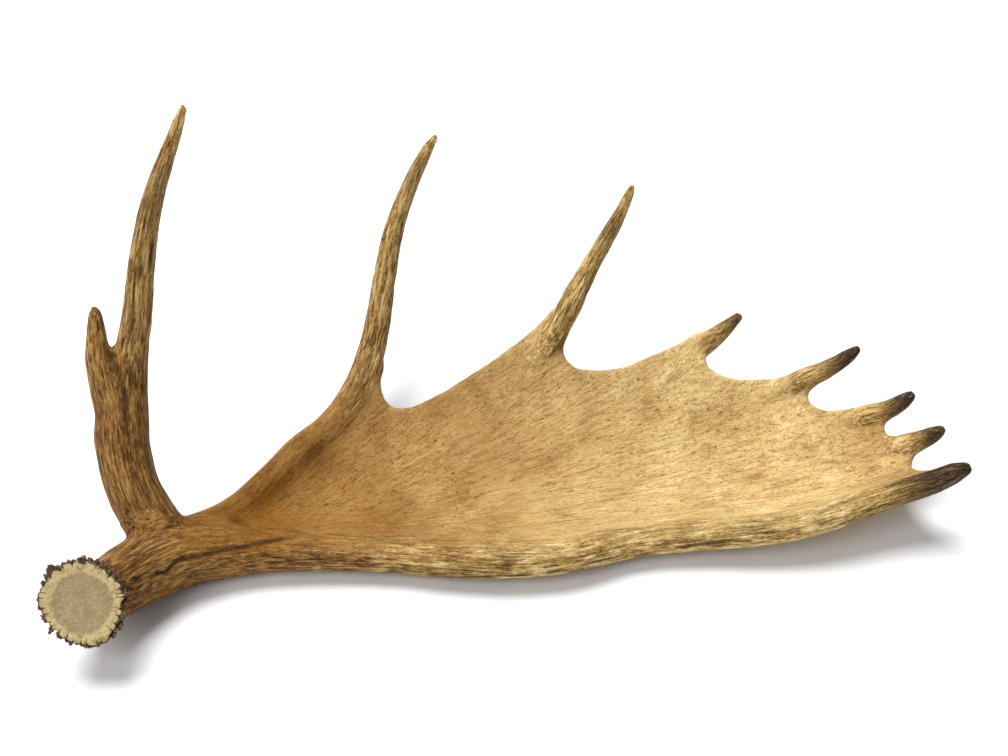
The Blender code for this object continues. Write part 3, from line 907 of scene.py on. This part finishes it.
boneSurface = boneMaterial("weatheredAntlerBone", paintBone)
print("pieces: parting the skin at the forks")
for node in nodeNames:
    part = partOfSkin(node)
    part = thinned(part, skin["palmTriangles"])
    insideBox(part)
    part = closed(part, node)
    faceGrain(part)
    keepNormals(part)
    part.materials.clear()
    part.materials.append(boneSurface)
    piece = linked(node + "_bone", part)
    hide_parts(node)
    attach(piece, "root")

# The burr: a crown of bony pearls round the foot of the beam, and the rough face where the antler
# dropped off the skull.
rosette = {
    "turns": 420,          # columns round
    "coreRows": 13,
    "ringRows": 12,
    "knobs": 21,
    "baseRadius": 34.6,    # mm
    "knobRise": (0.8, 5.4),
    "ribs": 37,
    "grit": 0.4,           # mm
    # large lobes of the outline: turn in degrees, rise in mm, width in degrees
    "lobes": ((45, -4.2, 28), (308, 4.4, 12), (268, 3.4, 8), (0, 1.2, 9), (39, 2.6, 3.5), (180, -1.2, 30)),
    # rows behind the face: share of its radius, or the radius in mm, and mm back
    "edgeRows": ((1.00, 1.2), (1.015, 2.6), (1.0, 4.2), (0.97, 5.8), (0.93, 7.4), (0.90, 9.0)),
    "footRows": ((31.5, 11.0), (30.0, 13.5), (28.6, 16.0)),
    "faceSink": 0.9,       # mm, the core lies under the rim by this
    "seed": 5,
}

# Rings of pearls behind the face: the inputs of their node tree, lengths in mm.
pearls = {
    "inputs": ("Count", "Ring Radius", "Pearl Radius", "Scatter", "Set Back", "Seed"),
    "rows": ((46, 36.4, 2.3, 1.7, 3.0, 3), (38, 35.4, 2.6, 1.9, 6.6, 8), (28, 32.6, 2.5, 2.0, 10.8, 14)),
    "push": ((-1, -1, -1), (1, 1, 1)),           # least and most, times Scatter
    "turn": ((0, 0, 0), (6.2, 6.2, 6.2)),        # radians
    "size": ((0.55, 0.5, 0.8), (1.0, 1.0, 1.7)),
    "lumps": 420.0,        # per metre
    "bulge": 4.2,
    "lobeShare": 0.8,      # how far the rings follow the face's lobes
}


def burrPlace(right, up, out):
    return burr["centre"] + (burr["right"] * right + burr["up"] * up + burr["facing"] * out) * mm


def lobeRise(turn):
    rise = 0 * turn   # mm
    for at, size, width in rosette["lobes"]:
        away = (np.degrees(turn) - at + 180) % 360 - 180
        rise = rise + size * np.exp(-(away / width) ** 2)
    return rise


def knobOutline(count):
    source = np.random.RandomState(rosette["seed"])
    knobs = rosette["knobs"]
    angles = (np.arange(knobs) + source.uniform(-0.32, 0.32, knobs)) * 2 * math.pi / knobs
    rises = source.uniform(*rosette["knobRise"], knobs)
    widths = source.uniform(0.55, 0.95, knobs) * 2 * math.pi / knobs
    turn = np.arange(count) * 2 * math.pi / count
    gap = np.abs((turn[:, None] - angles[None] + math.pi) % (2 * math.pi) - math.pi)
    shape = np.clip(1 - (gap / widths) ** 1.25, 0, 1) * rises
    ribTurns = (np.arange(rosette["ribs"]) + source.uniform(-0.5, 0.5, rosette["ribs"])) * 2 * math.pi
    ribTurns = ribTurns / rosette["ribs"]
    ribWidth = source.uniform(0.014, 0.036, rosette["ribs"])
    ribStart = source.uniform(0.1, 0.85, rosette["ribs"])
    ribGap = np.abs((turn[:, None] - ribTurns[None] + math.pi) % (2 * math.pi) - math.pi) / ribWidth
    nearest = ribGap.argmin(1)
    crack = smoothStep(1.0, 0.0, ribGap.min(1))
    return turn, shape.max(1), crack, ribStart[nearest]


def rosetteMesh():
    count = rosette["turns"]
    turn, knob, crack, crackStart = knobOutline(count)
    ring = np.stack([np.cos(turn), np.sin(turn)], 1)
    soft = noise(np.column_stack([ring * 1.3, np.zeros(count)]), 21)
    coreEdge = burr["coreRadius"] * (1 + 0.07 * soft)
    ragged = noise(np.column_stack([ring * 6, np.zeros(count)]), 26)
    lobes = lobeRise(turn)
    outer = rosette["baseRadius"] + knob + lobes + 1.0 * soft + 1.2 * ragged - 1.3 * crack
    darkLobe = smoothStep(0.8, 3.0, lobes)
    rows = []   # radius, height over the face, ring share, edge share, crack share
    for k in range(1, rosette["coreRows"] + 1):
        part = k / rosette["coreRows"]
        height = -rosette["faceSink"] + 0.25 * part ** 6 + 0 * turn
        rows.append((coreEdge * part, height, 0.0, 0.0, 0 * crack))
    for k in range(1, rosette["ringRows"] + 1):
        part = k / rosette["ringRows"]
        radius = coreEdge + (outer - coreEdge) * part
        rise = -0.65 + 0.75 * math.sin(part * math.pi * 0.75) + 0.9 * knob / 5 * part ** 2 + 0.5 * ragged * part
        split = crack * smoothStep(crackStart, 1.0, part + 0 * turn)
        edge = np.maximum(part ** 6, darkLobe * smoothStep(0.5, 0.75, part + 0 * turn))
        rows.append((radius, rise - 1.6 * split, min(1.0, part * 2.2), edge, split))
    for part, back in rosette["edgeRows"]:
        lump = 1.4 * noise(np.column_stack([ring * 9, 0 * turn + back * 0.35]), 22)
        radius = rosette["baseRadius"] + (outer - rosette["baseRadius"]) * max(0.15, 1.05 - back / 9) + lump
        rows.append((radius * part, -back - 0.3 + 0 * turn, 1.0, 1.0, crack * 0.6))
    for radius, back in rosette["footRows"]:
        lump = 0.9 * noise(np.column_stack([ring * 7, 0 * turn + back * 0.3]), 23)
        rows.append((radius + lump, -back + 0 * turn, 1.0, 1.0, crack * 0.4))
    solid = bmesh.new()
    marks = {name: solid.verts.layers.float.new(name) for name in ("ring", "edge", "deep")}
    layers = []
    for radius, height, ringShare, edgeShare, deepShare in rows:
        radius = radius + 0 * turn
        height = height + 0 * turn
        edgeShare = edgeShare + 0 * turn
        places = np.column_stack([ring * radius[:, None], height])
        grit = noise(places / 1.8, 24) * rosette["grit"] + 0.5 * noise(places / 5.0, 25)
        grit = grit * smoothStep(4, 30, radius)
        layer = []
        for k in range(count):
            vertex = solid.verts.new(burrPlace(places[k, 0], places[k, 1], height[k] + grit[k]))
            vertex[marks["ring"]] = ringShare
            vertex[marks["edge"]] = float(edgeShare[k])
            vertex[marks["deep"]] = float(deepShare[k])
            layer.append(vertex)
        layers.append(layer)
    for inner, outerRow in zip(layers, layers[1:]):
        for k in range(count):
            after = (k + 1) % count
            solid.faces.new((inner[k], outerRow[k], outerRow[after], inner[after]))
    front = solid.verts.new(burrPlace(0, 0, -rosette["faceSink"]))
    back = solid.verts.new(burrPlace(0, 0, -15.0))
    for k in range(count):
        after = (k + 1) % count
        solid.faces.new((front, layers[0][k], layers[0][after]))
        solid.faces.new((back, layers[-1][after], layers[-1][k]))
    bmesh.ops.recalc_face_normals(solid, faces=solid.faces)
    mesh = bpy.data.meshes.new("burr_crown")
    solid.to_mesh(mesh)
    solid.free()
    mesh.shade_smooth()
    return mesh


def pearlTree():
    # A ring of uneven pearls: circle, points pushed about, lumpy balls on them.
    tree = bpy.data.node_groups.new("burrPearls", "GeometryNodeTree")
    face = tree.interface
    face.new_socket("Geometry", in_out="OUTPUT", socket_type="NodeSocketGeometry")
    for name, kind, value in (("Count", "NodeSocketInt", 40), ("Ring Radius", "NodeSocketFloat", 0.036),
                              ("Pearl Radius", "NodeSocketFloat", 0.003), ("Scatter", "NodeSocketFloat", 0.002),
                              ("Set Back", "NodeSocketFloat", 0.005), ("Seed", "NodeSocketInt", 1)):
        face.new_socket(name, in_out="INPUT", socket_type=kind).default_value = value
    face.new_socket("Finish", in_out="INPUT", socket_type="NodeSocketMaterial")
    group = addNode(tree, "NodeGroupInput").node.outputs
    circle = addNode(tree, "GeometryNodeMeshCircle", {
        "Vertices": group["Count"], "Radius": group["Ring Radius"]}, fill_type="NONE")
    chance = []
    for shift, (low, high) in enumerate((pearls["push"], pearls["turn"], pearls["size"]), 1):
        seed = addNode(tree, "ShaderNodeMath", {0: group["Seed"], 1: shift}, operation="ADD")
        chance.append(addNode(tree, "FunctionNodeRandomValue", {0: low, 1: high, "Seed": seed},
                              data_type="FLOAT_VECTOR"))
    push, turn, size = chance
    push = addNode(tree, "ShaderNodeVectorMath", {0: push, 3: group["Scatter"]}, operation="SCALE")
    back = addNode(tree, "ShaderNodeMath", {0: group["Set Back"], 1: -1.0}, operation="MULTIPLY")
    back = addNode(tree, "ShaderNodeCombineXYZ", {2: back})
    offset = addNode(tree, "ShaderNodeVectorMath", {0: push, 1: back}, operation="ADD")
    ring = addNode(tree, "GeometryNodeSetPosition", {0: circle, "Offset": offset})
    ball = addNode(tree, "GeometryNodeMeshIcoSphere", {"Radius": group["Pearl Radius"], "Subdivisions": 3})
    shape = addNode(tree, "GeometryNodeInstanceOnPoints", {
        "Points": ring, "Instance": ball, "Rotation": turn, "Scale": size})
    shape = addNode(tree, "GeometryNodeRealizeInstances", {0: shape})
    lumps = addNode(tree, "ShaderNodeTexNoise", {"Scale": pearls["lumps"], "Detail": 1.0}, "Color",
                    noise_dimensions="3D")
    centred = addNode(tree, "ShaderNodeVectorMath", {0: lumps, 1: (0.5, 0.5, 0.5)}, operation="SUBTRACT")
    bulge = addNode(tree, "ShaderNodeVectorMath", {0: centred, 3: pearls["bulge"] * mm}, operation="SCALE")
    shape = addNode(tree, "GeometryNodeSetPosition", {0: shape, "Offset": bulge})
    shape = addNode(tree, "GeometryNodeSetShadeSmooth", {0: shape})
    shape = addNode(tree, "GeometryNodeSetMaterial", {0: shape, "Material": group["Finish"]})
    addNode(tree, "NodeGroupOutput", {0: shape})
    return tree


def pearlRing(tree, values):
    # values: the tree's inputs, with lengths in mm.
    holder = linked("pearls", bpy.data.meshes.new("pearls"))
    change = holder.modifiers.new("pearls", "NODES")
    change.node_group = tree
    for item in tree.interface.items_tree:
        if item.in_out == "INPUT":
            value = values[item.name]
            change[item.identifier] = value * mm if item.socket_type == "NodeSocketFloat" else value
    mesh = evaluated(holder)
    bpy.data.objects.remove(holder)
    return mesh


# Dry burr bone: the open, gritty bone of the cast face, greyish buff in the middle, cleaner and ribbed
# towards the rim, and stained dark on the pearls.
burrBone = {
    "core": "#a9956a", "coreDark": "#877550", "ring": "#bda974", "ringDark": "#876c41", "rim": "#3a2712",
    "rimPale": "#8d6d3e", "crack": "#3a2812", "crackShare": 0.85, "ior": 1.5,
    "grit": 1.613, "patch": 11.11, "blotch": 4.762, "pearlPatch": 3.846,   # mm
    "faceBump": (0.7, 0.6), "pearlBump": (0.6, 0.8),   # strength, height in mm
    "coreGrain": ((0.35, 0.0), (0.6, 1.0)),
    "coreStain": ((0.38, 0.6), (0.60, 0.0)),
    "ringGrain": ((0.3, 0.55), (0.6, 0.0)),
    "ringStain": ((0.50, 0.0), (0.68, 0.85)),
    "ringShare": ((0.55, 0.0), (1.0, 1.0)),
    "rimWear": ((0.45, 0.0), (0.7, 0.7)),
    "rimShare": ((0.75, 0.0), (1.0, 1.0)),
    "gloss": ((0.3, 0.85), (0.7, 0.65)),
    "pearlTone": ((0.35, "#33210f"), (0.55, "#5d4222"), (0.75, "#a5854f")),
    "pearlGloss": 0.6,
}


def paintBurr(tree, place):
    grit = addNode(tree, "ShaderNodeTexNoise", {
        "Vector": place, "Scale": 1 / (burrBone["grit"] * mm), "Detail": 3.0, "Roughness": 0.65}, "Fac")
    patch = addNode(tree, "ShaderNodeTexNoise", {
        "Vector": place, "Scale": 1 / (burrBone["patch"] * mm), "Detail": 3.0}, "Fac")
    blotch = addNode(tree, "ShaderNodeTexNoise", {
        "Vector": place, "Scale": 1 / (burrBone["blotch"] * mm), "Detail": 3.0, "Distortion": 0.6}, "Fac")
    ring, edge, deep = (addNode(tree, "ShaderNodeAttribute", out="Fac", attribute_name=name)
                        for name in ("ring", "edge", "deep"))
    patterns = {
        "coreGrain": grit, "coreStain": patch, "ringGrain": grit, "ringStain": blotch, "rimWear": patch,
        "ringShare": summed(tree, ring, (patch, 0.8)), "rimShare": summed(tree, edge, (patch, 0.6)),
        "gloss": grit,
    }
    tone = {name: addNode(tree, "ShaderNodeValToRGB", {0: pattern}, stops=burrBone[name])
            for name, pattern in patterns.items()}
    core = layered(tree, burrBone["coreDark"], (tone["coreGrain"], burrBone["core"], "MIX"),
                   (tone["coreStain"], burrBone["coreDark"], "MIX"))
    ringTone = layered(tree, burrBone["ring"], (tone["ringGrain"], burrBone["core"], "MIX"),
                       (tone["ringStain"], burrBone["ringDark"], "MIX"))
    rimTone = layered(tree, burrBone["rim"], (tone["rimWear"], burrBone["rimPale"], "MIX"))
    colour = layered(tree, core, (tone["ringShare"], ringTone, "MIX"), (tone["rimShare"], rimTone, "MIX"),
                     (summed(tree, 0.0, (deep, burrBone["crackShare"])), burrBone["crack"], "MIX"))
    strength, height = burrBone["faceBump"]
    return ({"Base Color": colour, "Roughness": tone["gloss"], "IOR": burrBone["ior"]},
            {"Height": grit, "Strength": strength, "Distance": height * mm})


def paintPearl(tree, place):
    # the same bone on the pearls, stained in patches from nearly black to buff
    patch = addNode(tree, "ShaderNodeTexNoise", {
        "Vector": place, "Scale": 1 / (burrBone["pearlPatch"] * mm), "Detail": 3.0}, "Fac")
    colour = addNode(tree, "ShaderNodeValToRGB", {0: patch}, stops=burrBone["pearlTone"])
    strength, height = burrBone["pearlBump"]
    return ({"Base Color": colour, "Roughness": burrBone["pearlGloss"], "IOR": burrBone["ior"]},
            {"Height": patch, "Strength": strength, "Distance": height * mm})


print("burr: crown and pearls")
crown = rosetteMesh()
insideBox(crown)
crown.materials.append(boneMaterial("dryBurrBone", paintBurr))
crownPiece = linked("burr_crown", crown)
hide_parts("burr_and_beam")
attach(crownPiece, "root")

pearlFinish = boneMaterial("stainedPearlBone", paintPearl)
ringTree = pearlTree()
turnToBurr = Matrix((burr["right"], burr["up"], burr["facing"])).transposed().to_4x4()
turnToBurr.translation = burr["centre"]
allPearls = bmesh.new()
for row in pearls["rows"]:
    values = dict(zip(pearls["inputs"], row))
    rowMesh = pearlRing(ringTree, {**values, "Finish": pearlFinish})
    pearlPlaces, _ = meshArrays(rowMesh)
    reach = np.hypot(pearlPlaces[:, 0], pearlPlaces[:, 1])
    grow = pearls["lobeShare"] * lobeRise(np.arctan2(pearlPlaces[:, 1], pearlPlaces[:, 0])) * mm / reach
    pearlPlaces[:, :2] *= 1 + grow[:, None]
    setPlaces(rowMesh, pearlPlaces)
    allPearls.from_mesh(rowMesh)
pearlMesh = bpy.data.meshes.new("burr_pearls")
allPearls.to_mesh(pearlMesh)
allPearls.free()
pearlMesh.transform(turnToBurr)
insideBox(pearlMesh)
pearlMesh.materials.append(pearlFinish)
pearlMesh.shade_smooth()
pearlPiece = linked("burr_pearls", pearlMesh)
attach(pearlPiece, "root")

# Floor, light and camera
stage = {
    "floorHalf": 30.0,     # m
    "floorColour": "#f8f8f8", "floorRoughness": 0.9,
    "skyColour": "#f0f5ff", "skyStrength": 0.26,
    "lens": 50, "sensor": 36,   # mm
    "elevation": 40,       # degrees, the camera's over the floor
    "distance": 1.32,      # m
    "target": (-0.02072, -0.02236, 0.14916),
}
lights = {
    "keyLight": {   # a softbox in front on the left
        "kind": "AREA", "from": (-0.8, -0.9, 1.0), "distance": 3.2,
        "settings": {"shape": "DISK", "size": 1.9, "energy": 38.0},
    },
    "topLight": {   # a wide softbox overhead, the same all over the floor
        "kind": "SUN", "from": (-0.26, 0.32, 1.0), "distance": 3.2,
        "settings": {"angle": math.radians(38), "energy": 3.6},
    },
}

print("stage: floor, light and camera")
floorMesh = bpy.data.meshes.new("floor")
half = stage["floorHalf"]
corners = [(-half, -half, 0), (half, -half, 0), (half, half, 0), (-half, half, 0)]
floorMesh.from_pydata(corners, [], [(0, 1, 2, 3)])
floor = linked("floor", floorMesh)
floorPaint = bpy.data.materials.new("mattWhitePaper")
floorPaint.use_nodes = True
paperInputs = floorPaint.node_tree.nodes["Principled BSDF"].inputs
paperInputs["Base Color"].default_value = linear(stage["floorColour"])
paperInputs["Roughness"].default_value = stage["floorRoughness"]
floorMesh.materials.append(floorPaint)

world = bpy.data.worlds.new("studio")
world.use_nodes = True
skyInputs = world.node_tree.nodes["Background"].inputs
skyInputs["Color"].default_value = linear(stage["skyColour"])
skyInputs["Strength"].default_value = stage["skyStrength"]
bpy.context.scene.world = world
bpy.context.scene.view_settings.view_transform = "Standard"

for name, light in lights.items():
    lamp = bpy.data.lights.new(name, light["kind"])
    for key, value in light["settings"].items():
        setattr(lamp, key, value)
    holder = linked(name, lamp)
    way = Vector(light["from"]).normalized()
    holder.location = way * light["distance"]
    holder.rotation_euler = way.to_track_quat("Z", "Y").to_euler()

lens = bpy.data.cameras.new("camera")
lens.lens = stage["lens"]
lens.sensor_width = stage["sensor"]
camera = linked("camera", lens)
tilt = math.radians(stage["elevation"])
camera.rotation_euler = (math.pi / 2 - tilt, 0, 0)
camera.location = Vector(stage["target"]) + Vector((0, -math.cos(tilt), math.sin(tilt))) * stage["distance"]
bpy.context.scene.camera = camera
